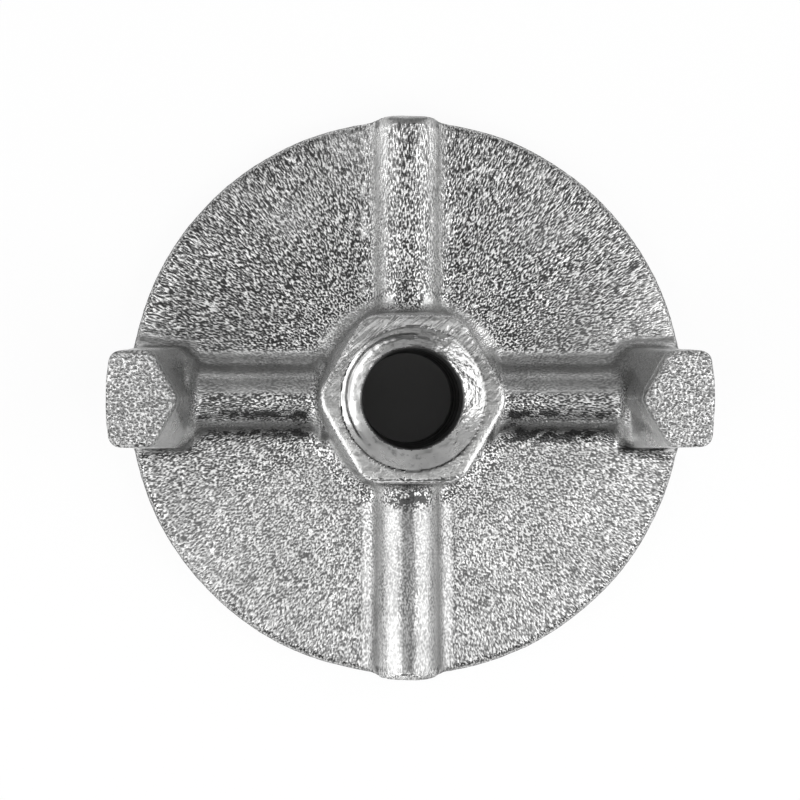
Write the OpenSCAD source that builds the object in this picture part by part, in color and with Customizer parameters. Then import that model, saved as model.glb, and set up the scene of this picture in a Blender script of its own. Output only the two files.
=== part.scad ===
// Formwork wing nut: a hexagonal threaded hub on a round bearing plate, braced by four ribs,
// with two upright lugs at the rim that are struck or turned with a bar. It is cast in one piece.
// The bearing face lies on z = 0, the bore runs along Z and the lugs stand on the X axis.

/* [Plate] */
// Diameter of the bearing plate
plate_d = 100; // [90:1:130]
// Thickness of the plate at its rim
rim_t = 6; // [5:0.5:8]
// Rise of the plate's top towards the hub, in degrees
plate_slope = 4; // [1:0.5:6]
// Radius of the rim's rounded top edge
rim_round = 1.5; // [0.5:0.25:2.5]

/* [Hub] */
// Height of the hub above the bearing face
hub_h = 45; // [38:1:60]
// Width across the flats at the hub's top
hub_af = 27; // [26:0.5:32]
// Radius of the hub's upright corners at its top
hub_corner = 4.2; // [2:0.1:6]
// Radius of the hub's upright corners at its foot, where it is nearly round
hub_foot_corner = 12; // [4:0.5:13]
// Radius of the hub's rounded top edge
hub_edge = 1; // [0.4:0.1:1.5]
// Draft of the hub's flats, in degrees
hub_draft = 3; // [1:0.5:5]
// Fillet where the hub meets the plate
hub_foot_fillet = 3; // [0.5:0.25:4]
// Fillet where the ribs run into the hub
hub_rib_fillet = 2; // [1:0.25:3]

/* [Thread] */
// Bore between the thread's crests
bore_d = 16.2; // [15.4:0.1:17]
// Depth of the thread groove behind the crests
thread_depth = 1.4; // [0.8:0.1:1.6]
// Rise of the thread in one turn
thread_pitch = 10; // [8:0.5:14]
// Share of the pitch that the groove takes at the crests
groove_share = 0.4; // [0.3:0.01:0.4]
// Height over which the groove runs out at both ends of the bore
thread_runout = 3; // [2:1:4]
// Diameter of the countersink at the top of the bore
mouth_d = 23.2; // [19:0.1:23.4]
// Diameter of the countersink in the bearing face
foot_mouth_d = 19.6; // [18:0.1:22]

/* [Ribs] */
// Height of the ribs' crests above the bearing face
rib_h = 15; // [13:0.5:20]
// Radius of the ribs' round crests
rib_crest = 5.4; // [4:0.1:6]
// Draft of the ribs' sides, in degrees
rib_draft = 12; // [5:1:20]
// Fillet where the ribs meet the plate
rib_fillet = 3.25; // [1:0.25:4]
// Radius of the rounded edge where a rib ends at the rim
rib_end_round = 2; // [1:0.25:3]

/* [Lugs] */
// Height of the lugs above the bearing face
lug_h = 36; // [26:0.5:44]
// Width of a lug at its top
lug_w = 16; // [12:0.2:20]
// Length of a lug at its top, from its inner ridge to its outer face
lug_l = 11.7; // [10:0.1:14]
// How far a lug's top stands out past the rim
lug_overhang = 0.3; // [0:0.1:2]
// Angle between each inner face and the lug's width at its top, in degrees
lug_vee = 30; // [15:1:32]
// The same angle at the lug's foot, where the inner faces lie almost in one plane
lug_foot_vee = 6; // [2:1:32]
// Draft of the lugs' sides, in degrees
lug_draft = 2; // [1:0.5:5]
// Radius of a lug's upright corners
lug_corner = 2; // [1:0.1:2.5]
// Radius of a lug's rounded top edge
lug_edge = 0.6; // [0.4:0.1:1.5]
// Fillet where a lug meets the plate
lug_foot_fillet = 3; // [0.5:0.25:4]
// Fillet where a rib runs into a lug
lug_rib_fillet = 2; // [1:0.25:3]

/* [Hidden] */
zinc = [0.72, 0.73, 0.74];

$fn = 96;
arc_steps = 6;      // steps in a rounded edge or a fillet
turn_steps = 24;    // steps in one turn of the thread
buried = 2;         // how far the hub, the ribs and the lugs reach down into the plate
crossing = 0.1;     // how far a fillet's end dips below the surface that it runs out on
cut = 1;            // how far a cutting tool runs past the metal

plate_r = plate_d / 2;
bore_r = bore_d / 2;
groove_r = bore_r + thread_depth;
hub_r = hub_af / 2;
hub_core = (bore_r + hub_r) / 2;    // where the ribs end inside the hub's wall
lug_out_r = plate_r + lug_overhang;

// Height of the plate's top at a distance from the axis
function plate_top(r) = rim_t + (plate_r - r) * tan(plate_slope);
hub_foot = plate_top(hub_r) - crossing;
lug_foot = plate_top(plate_r) - crossing;

// Points of an arc about a centre
function arc(centre, radius, from, to, steps = arc_steps) =
    [for (i = [0:steps]) let (a = from + (to - from) * i / steps)
        centre + radius * [cos(a), sin(a)]];

// How far a fillet has spread at a distance from the face that it rises on
function flare(distance, radius) =
    let (d = min(max(distance, 0), radius))
        radius - sqrt(radius * radius - pow(radius - d, 2));

// Distances at which a fillet is drawn, close together where it bends most
function flare_steps(radius) = [for (i = [0:arc_steps]) radius * (1 - cos(90 * i / arc_steps))];

// Height and inset of each step in the rounded top edge of a piece
function edge_steps(top, radius) =
    [for (i = [0:arc_steps]) let (a = 90 * i / arc_steps)
        [top - radius + radius * sin(a), radius * (1 - cos(a))]];

// A list in the opposite order
function reversed(list) = [for (i = [len(list) - 1:-1:0]) list[i]];

// An outline at one height as points in space
function ring(outline, height) = [for (p = outline) [p.x, p.y, height]];

// Solid through rings of equally many points, counterclockwise as seen from the last ring
module loft(rings) {
    count = len(rings[0]);
    last = (len(rings) - 1) * count;
    polyhedron(
        points = [for (r = rings) each r],
        faces = concat(
            [[for (i = [0:count - 1]) i]],
            [for (j = [0:len(rings) - 2]) for (i = [0:count - 1])
                let (low = j * count, next = (i + 1) % count)
                    each [[low + i, low + count + i, low + count + next],
                          [low + i, low + count + next, low + next]]],
            [[for (i = [count - 1:-1:0]) last + i]]));
}

// Round plate, thicker towards the hub, with a rounded rim
module plate() {
    centre = [plate_r - rim_round, plate_top(plate_r - rim_round) - rim_round / cos(plate_slope)];
    rotate_extrude()
        polygon(concat(
            [[0, 0], [plate_r, 0]],
            arc(centre, rim_round, 0, 90 - plate_slope, 2 * arc_steps),
            [[0, plate_top(0)]]));
}

// Hexagon with round corners, two of them on the X axis
function hub_outline(half_w, corner) =
    [for (k = [0:5])
        each arc((half_w - corner) / cos(30) * [cos(60 * k), sin(60 * k)], corner, 60 * k - 30, 60 * k + 30)];

// Half of the hub's width across the flats at a height, without fillets
function hub_half(height) = hub_r + max(hub_h - height, 0) * tan(hub_draft);

// Radius of the hub's upright corners at a height
function hub_corner_at(height) =
    hub_corner + (hub_foot_corner - hub_corner) * max(hub_h - height, 0) / (hub_h - hub_foot);

// Distance from the axis to one of the hub's corners at a height
function hub_reach(height) =
    (hub_half(height) - hub_corner_at(height)) / cos(30) + hub_corner_at(height);

// The hub's outline at a height, spread by its foot fillet
function hub_ring(height, inset = 0) =
    let (spread = flare(height - hub_foot, hub_foot_fillet) - inset)
        ring(hub_outline(hub_half(height) + spread, hub_corner_at(height) + spread), height);

// Drafted hub, a hexagon at the top and nearly round at the foot, with a rounded top edge
module hub() {
    loft(concat(
        [hub_ring(hub_foot - buried)],
        [for (h = flare_steps(hub_foot_fillet)) hub_ring(hub_foot + h)],
        [for (e = edge_steps(hub_h, hub_edge)) hub_ring(e[0], e[1])]));
}

// Half of a rib's section at a distance from the axis, from its crest down to its buried foot.
// Its side has the rib's draft, or leans more where the plate is high and the fillet meets the crest
function rib_half(r, grow) =
    let (crest_z = rib_h - rib_crest,
         round_r = rib_crest + grow,
         foot_z = plate_top(r) - crossing,
         fillet_z = foot_z + rib_fillet,
         side = max(rib_draft, asin((fillet_z - crest_z) / (round_r + rib_fillet))),
         fillet_y = (round_r + rib_fillet + (crest_z - fillet_z) * sin(side)) / cos(side))
        concat(
            arc([0, crest_z], round_r, 90, side, 2 * arc_steps),
            arc([fillet_y, fillet_z], rib_fillet, 180 + side, 270),
            [[fillet_y, foot_z - buried]]);

// A rib's section across the X axis, grown on all sides by the fillets at its ends
function rib_section(r, grow) =
    let (half = rib_half(r, grow), count = len(half))
        concat(
            [for (p = half) [r, p.x, p.y]],
            [for (i = [count - 1:-1:1]) [r, -half[i].x, half[i].y]]);

// Sections of a rib that runs into an upright face and ends inside it, from that end outwards
function rib_joint(face, end, radius) =
    let (inwards = sign(end - face))
        concat(
            [rib_section(end, 0)],
            [for (d = flare_steps(radius)) rib_section(face - inwards * d, flare(d, radius))]);

// Rib from the hub to the rim, rounded over where it ends
module rim_rib() {
    face = hub_half(rib_h + hub_rib_fillet) - crossing;
    end_r = plate_r - crossing;
    intersection() {
        loft(concat(
            [rib_section(plate_r + cut, 0)],
            reversed(rib_joint(face, hub_core, hub_rib_fillet))));
        rotate_extrude() difference() {
            square([end_r, rib_h + hub_rib_fillet + cut]);
            translate([end_r - rib_end_round, rib_h - rib_end_round]) difference() {
                square(rib_end_round + 2 * cut);
                circle(rib_end_round);
            }
        }
    }
}

// Rib from the hub to a lug
module lug_rib() {
    face = hub_reach(rib_h + hub_rib_fillet) - crossing;
    ridge = lug_ridge(rib_h + lug_rib_fillet) + crossing;
    loft(concat(
        rib_joint(ridge, ridge + lug_w / 2 * tan(lug_vee), lug_rib_fillet),
        reversed(rib_joint(face, hub_core, hub_rib_fillet))));
}

// How far a lug's side stands out at a height, without fillets
function lug_spread(height) = max(lug_h - height, 0) * tan(lug_draft);

// Distance from the axis to a lug's inner ridge at a height
function lug_ridge(height) = lug_out_r - lug_l - lug_spread(height);

// A lug's outline: a round outer face, two flat sides and two inner faces that meet in a ridge
function lug_outline(half_w, ridge_x, out_r, corner, vee) =
    let (side_y = half_w - corner,
         turn = asin(side_y / (out_r - corner)),
         outer = (out_r - corner) * [cos(turn), sin(turn)],
         ridge = [ridge_x + corner, 0],
         inner = [ridge.x + side_y * tan(vee), side_y])
        concat(
            arc([0, 0], out_r, -turn, turn),
            arc(outer, corner, turn, 90),
            arc(inner, corner, 90, 180 - vee),
            arc(ridge, corner, 180 - vee, 180 + vee),
            arc([inner.x, -inner.y], corner, 180 + vee, 270),
            arc([outer.x, -outer.y], corner, 270, 360 - turn));

// The lug's outline at a height, spread by its foot fillet
function lug_ring(height, inset = 0) =
    let (rise = max(height - lug_foot, 0) / (lug_h - lug_foot),
         out_r = plate_r - crossing + (lug_overhang + crossing) * rise,
         vee = lug_foot_vee + (lug_vee - lug_foot_vee) * rise,
         spread = flare(height - lug_foot, lug_foot_fillet) - inset)
        ring(lug_outline(lug_w / 2 + lug_spread(height) + spread, lug_ridge(height) - spread,
                         out_r - inset, lug_corner - inset, vee), height);

// Lug on the +X side, standing on the rim and on the end of its rib
module lug() {
    loft(concat(
        [lug_ring(lug_foot - buried)],
        [for (h = flare_steps(lug_foot_fillet)) lug_ring(lug_foot + h)],
        [for (e = edge_steps(lug_h, lug_edge)) lug_ring(e[0], e[1])]));
}

// Share of the groove's depth at a height, which runs out before it reaches the countersinks
function groove_share_at(height, root) =
    let (low = foot_mouth_d / 2 - bore_r, high = hub_h - (mouth_d / 2 - bore_r),
         room = min(height - low, high - height) - root - crossing)
        min(max(room / thread_runout, 0), 1);

// Helical tool that cuts the coarse thread groove
module thread_groove() {
    mouth = thread_pitch * groove_share / 2;
    root = mouth / 2;
    inner_r = bore_r - cut;
    inner = mouth + (mouth - root) * cut / thread_depth;
    profile = [[groove_r, -root], [inner_r, -inner], [inner_r, inner], [groove_r, root]];
    turns = hub_h / thread_pitch + 2;
    loft([for (i = [0:turns * turn_steps])
        let (a = 360 * i / turn_steps,
             z = thread_pitch * (i / turn_steps - 1),
             lift = (1 - groove_share_at(z, root)) * (thread_depth + crossing))
            [for (p = profile) [(p.x - lift) * cos(a), (p.x - lift) * sin(a), z + p.y]]]);
}

// Countersink that opens the bore upwards to a diameter
module countersink(diameter) {
    depth = diameter / 2 - bore_r;
    translate([0, 0, -depth]) cylinder(h = depth + cut, r1 = bore_r, r2 = bore_r + depth + cut);
}

// Everything that is cut out along the axis
module threaded_bore() {
    translate([0, 0, -cut]) cylinder(h = hub_h + 2 * cut, r = bore_r);
    translate([0, 0, hub_h]) countersink(mouth_d);
    mirror([0, 0, 1]) countersink(foot_mouth_d);
    thread_groove();
}

// The whole casting
module wing_nut() {
    color(zinc) difference() {
        union() {
            plate();
            hub();
            for (a = [0, 180]) rotate([0, 0, a]) {
                lug_rib();
                lug();
            }
            for (a = [90, 270]) rotate([0, 0, a]) rim_rib();
        }
        threaded_bore();
    }
}

wing_nut();
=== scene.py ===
"""Formwork wing nut: bright zinc over a sand-cast skin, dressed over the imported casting, in a pale studio."""

import logging
import math
from dataclasses import dataclass, field
from enum import Enum
from functools import cached_property

import bmesh
import bpy
import numpy as np
from bpy.types import Material, Mesh, Node, NodeSocket, NodeTree, Object, World, bpy_prop_collection
from mathutils import Matrix, Vector
from mathutils.bvhtree import BVHTree


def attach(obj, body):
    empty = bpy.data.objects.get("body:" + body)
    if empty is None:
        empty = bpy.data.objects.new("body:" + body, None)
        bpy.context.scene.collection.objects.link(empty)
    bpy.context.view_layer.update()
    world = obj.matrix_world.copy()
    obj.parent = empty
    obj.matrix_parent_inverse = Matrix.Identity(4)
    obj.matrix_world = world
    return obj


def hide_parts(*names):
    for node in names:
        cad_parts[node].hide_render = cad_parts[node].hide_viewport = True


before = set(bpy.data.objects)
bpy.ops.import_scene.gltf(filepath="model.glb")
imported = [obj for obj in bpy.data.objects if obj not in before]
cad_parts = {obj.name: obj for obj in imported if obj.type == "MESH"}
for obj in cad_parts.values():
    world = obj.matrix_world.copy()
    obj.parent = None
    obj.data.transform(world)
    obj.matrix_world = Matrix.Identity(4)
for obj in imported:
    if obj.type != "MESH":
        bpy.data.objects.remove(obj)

LOG = logging.getLogger("wing_nut")
MM = 0.001

Pair = tuple[float, float]
Colour = tuple[float, float, float]
Point = tuple[float, float, float]
Swells = tuple[tuple[int, float, float], ...]
Rows = np.ndarray


class Blend(Enum):
    """How two values are joined in a Math node."""

    ADD = "ADD"
    MULTIPLY = "MULTIPLY"
    SUBTRACT = "SUBTRACT"
    MAXIMUM = "MAXIMUM"
    POWER = "POWER"


@dataclass
class NodeGraph:
    """Short calls that add and join the nodes of one tree.

    Args:
        tree: The tree that the nodes go into.
    """

    tree: NodeTree

    @classmethod
    def fresh(cls, holder: Material | World) -> "NodeGraph":
        """Empty the nodes of a material or a world.

        Args:
            holder: The material or the world.

        Returns:
            The graph of its empty tree.
        """
        holder.use_nodes = True
        holder.node_tree.nodes.clear()
        return cls(holder.node_tree)

    def add(self, kind: str, **settings: object) -> Node:
        """Add a node.

        Args:
            kind: The node's type name.
            settings: Properties to set on the node.

        Returns:
            The new node.
        """
        node = self.tree.nodes.new(kind)
        for name, value in settings.items():
            setattr(node, name, value)
        return node

    def join(self, source: NodeSocket, target: NodeSocket) -> None:
        """Link an output to an input."""
        self.tree.links.new(source, target)

    def feed(self, target: NodeSocket, value: object) -> None:
        """Link a socket to an input, or set the input to a plain number or colour.

        Args:
            target: The input.
            value: A socket, a number or a linear colour.
        """
        if isinstance(value, NodeSocket):
            self.join(value, target)
        else:
            target.default_value = (*value, 1.0) if isinstance(value, tuple) else value

    def feed_all(self, node: Node, values: dict[str, object]) -> None:
        """Feed several inputs of a node, by their names."""
        for name, value in values.items():
            self.feed(node.inputs[name], value)

    def math(self, how: Blend, a: object, b: object) -> NodeSocket:
        """Join two values.

        Args:
            how: The operation.
            a: A socket or a number.
            b: A socket or a number.

        Returns:
            The result's socket.
        """
        node = self.add("ShaderNodeMath", operation=how.value)
        self.feed(node.inputs[0], a)
        self.feed(node.inputs[1], b)
        return node.outputs[0]

    def remap(
        self, value: object, low: object, high: object, to_low: float = 0.0, to_high: float = 1.0
    ) -> NodeSocket:
        """Map a range of a value smoothly onto another range, held at both ends.

        Args:
            value: A socket.
            low: Start of the range that is read, a socket or a number.
            high: End of the range that is read, a socket or a number.
            to_low: Result at the start.
            to_high: Result at the end.

        Returns:
            The result's socket.
        """
        node = self.add("ShaderNodeMapRange", interpolation_type="SMOOTHSTEP", clamp=True)
        span = {"From Min": low, "From Max": high, "To Min": to_low, "To Max": to_high}
        self.feed_all(node, {"Value": value, **span})
        return node.outputs["Result"]

    def noise(self, place: object, size: object, detail: float = 2.0, rough: float = 0.5) -> NodeSocket:
        """Noise between about 0.2 and 0.8.

        Args:
            place: Socket with the position in metres.
            size: Size of one cell, as cells per metre.
            detail: Number of finer layers.
            rough: Strength of each finer layer.

        Returns:
            The value's socket.
        """
        node = self.add("ShaderNodeTexNoise", noise_dimensions="3D")
        self.feed_all(node, {"Vector": place, "Scale": size, "Detail": detail, "Roughness": rough})
        return node.outputs["Fac"]

    def place(self) -> NodeSocket:
        """Return the socket with the position in metres."""
        return self.add("ShaderNodeTexCoord").outputs["Object"]

    def shared(self, effect: type["SharedEffect"], **values: object) -> Node:
        """Place a shared effect.

        Args:
            effect: The effect's class.
            values: What its inputs are fed with, by their names.

        Returns:
            The group's node.
        """
        node = self.add("ShaderNodeGroup", node_tree=effect.group())
        self.feed_all(node, values)
        return node

    def mix_into(self, out: Node, share: object, light: Node, white: Node) -> None:
        """Finish a floor or a world with a mix of two shaders.

        Args:
            out: The output node.
            share: Socket with the second shader's share.
            light: The shader that lights the nut.
            white: The shader that the camera sees.
        """
        node = self.add("ShaderNodeMixShader")
        for target, source in zip(node.inputs, (share, light.outputs[0], white.outputs[0])):
            self.join(source, target)
        self.join(node.outputs[0], out.inputs["Surface"])

    def mask(self, name: str) -> NodeSocket:
        """Return the socket that reads one of the mesh's masks."""
        return self.add("ShaderNodeAttribute", attribute_name=name).outputs["Fac"]

    def bump(self, height: NodeSocket, depth: float, skin: Node) -> None:
        """Join a height to a shader's normal.

        Args:
            height: Socket with the height, in parts of the depth.
            depth: Depth in metres.
            skin: The Principled shader.
        """
        node = self.add("ShaderNodeBump")
        self.feed_all(node, {"Strength": 1.0, "Distance": depth, "Height": height})
        self.join(node.outputs[0], skin.inputs["Normal"])

    def shade(self, factor: object, low: object, high: object) -> NodeSocket:
        """Colour between two others.

        Args:
            factor: Socket from 0 to 1.
            low: Colour at 0, a socket or a linear colour.
            high: Colour at 1, the same.

        Returns:
            The colour's socket.
        """
        node = self.add("ShaderNodeMix", data_type="RGBA", clamp_factor=True)
        self.feed_all(node, {"Factor": factor, "A": low, "B": high})
        return node.outputs["Result"]


def metal(name: str) -> tuple[Material, NodeGraph, Node]:
    """Start a metal material.

    Args:
        name: The material's name.

    Returns:
        The material, its graph and its Principled shader.
    """
    made = bpy.data.materials.new(name)
    graph = NodeGraph.fresh(made)
    out = graph.add("ShaderNodeOutputMaterial")
    skin = graph.add("ShaderNodeBsdfPrincipled")
    graph.join(skin.outputs[0], out.inputs["Surface"])
    skin.inputs["Metallic"].default_value = 1.0
    return made, graph, skin


class SharedEffect:
    """A node group with named inputs and outputs, which is built once and placed in several finishes."""

    NAME = ""
    INPUTS: dict[str, float] = {}
    OUTPUTS: tuple[str, ...] = ()

    @classmethod
    def group(cls) -> NodeTree:
        """Return the group, which is built at its first use."""
        return bpy.data.node_groups.get(cls.NAME) or cls._build()

    @classmethod
    def _build(cls) -> NodeTree:
        """Build the group with its sockets.

        Returns:
            The new tree.
        """
        tree = bpy.data.node_groups.new(cls.NAME, "ShaderNodeTree")
        for name, plain in cls.INPUTS.items():
            socket = tree.interface.new_socket(name, in_out="INPUT", socket_type="NodeSocketFloat")
            socket.default_value = plain
        for name in cls.OUTPUTS:
            tree.interface.new_socket(name, in_out="OUTPUT", socket_type="NodeSocketFloat")
        cls._fill(tree)
        return tree

    @classmethod
    def _fill(cls, tree: NodeTree) -> None:
        """Add the effect's nodes.

        Args:
            tree: The effect's tree.
        """
        raise NotImplementedError


class CastGrain(SharedEffect):
    """Node group of a sand-cast skin: grains drawn out away from the nut's axis, with pits and finer dust.

    Its inputs are Cells, the grains per metre, Draw, how far they are drawn out as a share of the distance
    from the axis, Spread, which is wider for softer grains, and Dust, the strength of the finest layer.
    """

    NAME = "cast_grain"
    INPUTS = {"Cells": 3300.0, "Draw": 0.0056, "Spread": 0.12, "Dust": 0.3}
    OUTPUTS = ("Height", "Grain")
    STEPS = (-1.0, -0.5, 0.0, 0.5, 1.0)
    LUMP = 0.34
    DUST = 2.2

    @classmethod
    def _fill(cls, tree: NodeTree) -> None:
        """Add the grain's nodes.

        Args:
            tree: The effect's tree.
        """
        graph = NodeGraph(tree)
        inp = graph.add("NodeGroupInput")
        out = graph.add("NodeGroupOutput")
        place = graph.place()
        away = graph.add("ShaderNodeVectorMath", operation="MULTIPLY")
        graph.join(place, away.inputs[0])
        away.inputs[1].default_value = (1.0, 1.0, 0.0)
        total = None
        for side in cls.STEPS:
            step = graph.add("ShaderNodeVectorMath", operation="SCALE")
            graph.join(away.outputs[0], step.inputs[0])
            graph.join(graph.math(Blend.MULTIPLY, inp.outputs["Draw"], side), step.inputs["Scale"])
            spot = graph.add("ShaderNodeVectorMath", operation="ADD")
            graph.join(place, spot.inputs[0])
            graph.join(step.outputs[0], spot.inputs[1])
            value = graph.noise(spot.outputs[0], inp.outputs["Cells"], 1.0, 0.45)
            total = value if total is None else graph.math(Blend.ADD, total, value)
        low = graph.math(Blend.SUBTRACT, 0.5, inp.outputs["Spread"])
        high = graph.math(Blend.ADD, 0.5, inp.outputs["Spread"])
        grain = graph.remap(graph.math(Blend.MULTIPLY, total, 1 / len(cls.STEPS)), low, high)
        coarse = graph.noise(place, graph.math(Blend.MULTIPLY, inp.outputs["Cells"], cls.LUMP), 2.0, 0.5)
        pits = graph.remap(coarse, 0.30, 0.40, 1.0, 0.0)
        dust = graph.noise(place, graph.math(Blend.MULTIPLY, inp.outputs["Cells"], cls.DUST), 0.0, 0.5)
        fine = graph.math(Blend.MULTIPLY, graph.math(Blend.SUBTRACT, dust, 0.5), inp.outputs["Dust"])
        height = graph.math(Blend.ADD, grain, fine)
        height = graph.math(Blend.ADD, height, graph.math(Blend.MULTIPLY, coarse, 0.8))
        height = graph.math(Blend.SUBTRACT, height, graph.math(Blend.MULTIPLY, pits, 0.4))
        graph.join(height, out.inputs["Height"])
        graph.join(grain, out.inputs["Grain"])


class ZincBloom(SharedEffect):
    """Node group of the clouded, scuffed colour that zinc takes on in store.

    Its inputs are Color and Rough, the plain finish, and Clouds and Scuffs, the strength of each.
    """

    NAME = "zinc_bloom"
    INPUTS = {"Rough": 0.4, "Clouds": 0.12, "Scuffs": 0.1}
    OUTPUTS = ("Rough",)
    DULL = 0.06

    @classmethod
    def _fill(cls, tree: NodeTree) -> None:
        """Add the bloom's nodes and its colour sockets.

        Args:
            tree: The effect's tree.
        """
        for side in ("INPUT", "OUTPUT"):
            tree.interface.new_socket("Color", in_out=side, socket_type="NodeSocketColor")
        graph = NodeGraph(tree)
        inp = graph.add("NodeGroupInput")
        out = graph.add("NodeGroupOutput")
        place = graph.place()
        cloud = graph.remap(graph.noise(place, 110.0, 3.0, 0.6), 0.35, 0.65)
        speck = graph.remap(graph.noise(place, 900.0, 2.0, 0.6), 0.55, 0.72)
        fade = graph.math(Blend.SUBTRACT, 1.0, graph.math(Blend.MULTIPLY, cloud, inp.outputs["Clouds"]))
        fade = graph.math(Blend.SUBTRACT, fade, graph.math(Blend.MULTIPLY, speck, inp.outputs["Scuffs"]))
        tint = graph.add("ShaderNodeVectorMath", operation="SCALE")
        graph.join(inp.outputs["Color"], tint.inputs[0])
        graph.join(fade, tint.inputs["Scale"])
        graph.join(tint.outputs[0], out.inputs["Color"])
        dull = graph.math(Blend.MULTIPLY, graph.math(Blend.ADD, cloud, speck), cls.DULL)
        graph.join(graph.math(Blend.ADD, inp.outputs["Rough"], dull), out.inputs["Rough"])


@dataclass(frozen=True)
class CastZinc:
    """Bright zinc over the casting's sand skin.

    Args:
        peak: Linear colour of the grains' tops.
        valley: Linear colour between the grains, a painted shade in the grain's hollows.
        painted_shade: Linear colour of the painted shade at the feet of the ribs and of the painted dark
            reflections along the outer edges.
        rough_peak: Roughness of the grains' tops.
        rough_valley: Roughness between the grains.
        relief: Depth of the grain in metres.
        cells: Grains per metre, on the plate and on the lugs' tops.
        draw: How far the grains are drawn out, at the same two places.
        spread: How soft the grains are, at the same two places.
        contrast: Power that keeps the painted shade between the grains dark.
    """

    peak: Colour = (0.97, 0.97, 0.965)
    valley: Colour = (0.055, 0.055, 0.055)
    painted_shade: Colour = (0.08, 0.08, 0.08)
    rough_peak: float = 0.25
    rough_valley: float = 0.40
    relief: float = 0.00011
    cells: Pair = (3300.0, 2300.0)
    draw: Pair = (0.0056, 0.0)
    spread: Pair = (0.12, 0.22)
    contrast: float = 2.1

    def material(self) -> Material:
        """Build the material.

        Returns:
            The new material, which reads the mesh's masks.
        """
        made, graph, skin = metal("cast_zinc")
        end = graph.mask("end")
        grain = graph.shared(
            CastGrain,
            Cells=graph.remap(end, 0.0, 1.0, *self.cells),
            Draw=graph.remap(end, 0.0, 1.0, *self.draw),
            Spread=graph.remap(end, 0.0, 1.0, *self.spread),
        )
        even = graph.mask("even")
        # Painted shade and painted dark reflections, broken up by the grain, darken the coat here.
        shade_share = graph.math(Blend.MULTIPLY, graph.mask("edge"), 2.0)
        shade_share = graph.remap(graph.math(Blend.SUBTRACT, shade_share, grain.outputs["Grain"]), 0.0, 1.0)
        grainy = graph.math(Blend.SUBTRACT, 1.0, even)
        rough_part = graph.math(Blend.MULTIPLY, grain.outputs["Grain"], grainy)
        # The even level carries painted light and shade into the colour here.
        level = graph.math(Blend.ADD, rough_part, graph.math(Blend.MULTIPLY, graph.mask("painted_light_tone"), even))
        # The grain's hollows take the valley colour as painted shade.
        colour = graph.shade(graph.math(Blend.POWER, level, self.contrast), self.valley, self.peak)
        rough = graph.remap(level, 0.0, 1.0, self.rough_valley, self.rough_peak)
        bloom = graph.shared(ZincBloom, Color=colour, Rough=rough)
        coat = graph.shade(shade_share, bloom.outputs["Color"], self.painted_shade)
        graph.feed_all(skin, {"Base Color": coat, "Roughness": bloom.outputs["Rough"]})
        height = graph.math(Blend.MULTIPLY, grain.outputs["Height"], graph.mask("depth"))
        graph.bump(height, self.relief, skin)
        return made


@dataclass(frozen=True)
class WorkedZinc:
    """Zinc over the hub's top and mouth, which are struck smooth and scratched.

    Args:
        top: Linear colour of the hub's top.
        mouth: Linear colour of the countersink, also used for the painted highlights on the hub's top.
        mouth_shade: Linear colour of the painted shade along the mouth's edge and in its step, also used for
            the scratches.
        rough: Roughness.
        relief: Depth of the marks in metres.
        slant: Direction of the scratches, in degrees from the X axis.
        stretch: Width of a scratch as a share of its length.
    """

    top: Colour = (0.42, 0.42, 0.415)
    mouth: Colour = (0.85, 0.85, 0.845)
    mouth_shade: Colour = (0.10, 0.10, 0.10)
    rough: float = 0.26
    relief: float = 0.00012
    slant: float = 40.0
    stretch: float = 0.1

    def material(self) -> Material:
        """Build the material.

        Returns:
            The new material.
        """
        made, graph, skin = metal("worked_zinc")
        place = graph.place()
        # The countersink's own lighter colour, and the same colour as painted highlights on the hub's top.
        colour = graph.shade(graph.mask("mouth_and_highlight"), self.top, self.mouth)
        bloom = graph.shared(ZincBloom, Color=colour, Rough=self.rough, Clouds=0.2, Scuffs=0.3)
        turned = graph.add("ShaderNodeMapping", vector_type="TEXTURE")
        turned.inputs["Rotation"].default_value = (0.0, 0.0, math.radians(self.slant))
        turned.inputs["Scale"].default_value = (1.0, self.stretch, 1.0)
        graph.join(place, turned.inputs["Vector"])
        scratch = graph.remap(graph.noise(turned.outputs[0], 300.0, 2.0, 0.6), 0.51, 0.58)
        scratch = graph.math(Blend.MULTIPLY, scratch, graph.mask("struck"))
        # Painted shade at the mouth, with the darker scratches, darkens the coat here.
        shade_and_scratches = graph.math(Blend.MAXIMUM, graph.mask("mouth_shade"), graph.math(Blend.MULTIPLY, scratch, 0.5))
        coat = graph.shade(shade_and_scratches, bloom.outputs["Color"], self.mouth_shade)
        graph.feed_all(skin, {"Base Color": coat, "Roughness": bloom.outputs["Rough"]})
        lumps = graph.math(Blend.MULTIPLY, graph.noise(place, 420.0, 3.0, 0.6), 2.6)
        grain = graph.shared(CastGrain, Cells=1500.0, Draw=0.0, Spread=0.2)
        height = graph.math(Blend.ADD, lumps, graph.math(Blend.MULTIPLY, grain.outputs["Height"], 0.35))
        height = graph.math(Blend.SUBTRACT, height, scratch)
        graph.bump(graph.math(Blend.MULTIPLY, height, graph.mask("worn")), self.relief, skin)
        return made


@dataclass(frozen=True)
class ThreadZinc:
    """Wall of the threaded bore, painted dark as the shade inside the deep bore.

    Args:
        colour: Linear colour.
        rough: Roughness.
        relief: Depth of the tool's marks in metres.
    """

    # Dark grey: painted shade of the deep bore.
    colour: Colour = (0.20, 0.20, 0.20)
    rough: float = 0.42
    relief: float = 0.00004

    def material(self) -> Material:
        """Build the material.

        Returns:
            The new material.
        """
        made, graph, skin = metal("thread_zinc")
        bloom = graph.shared(ZincBloom, Color=self.colour, Rough=self.rough, Scuffs=0.4)
        graph.feed_all(skin, {"Base Color": bloom.outputs["Color"], "Roughness": bloom.outputs["Rough"]})
        graph.bump(graph.noise(graph.place(), 2400.0, 2.0, 0.5), self.relief, skin)
        return made


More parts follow.
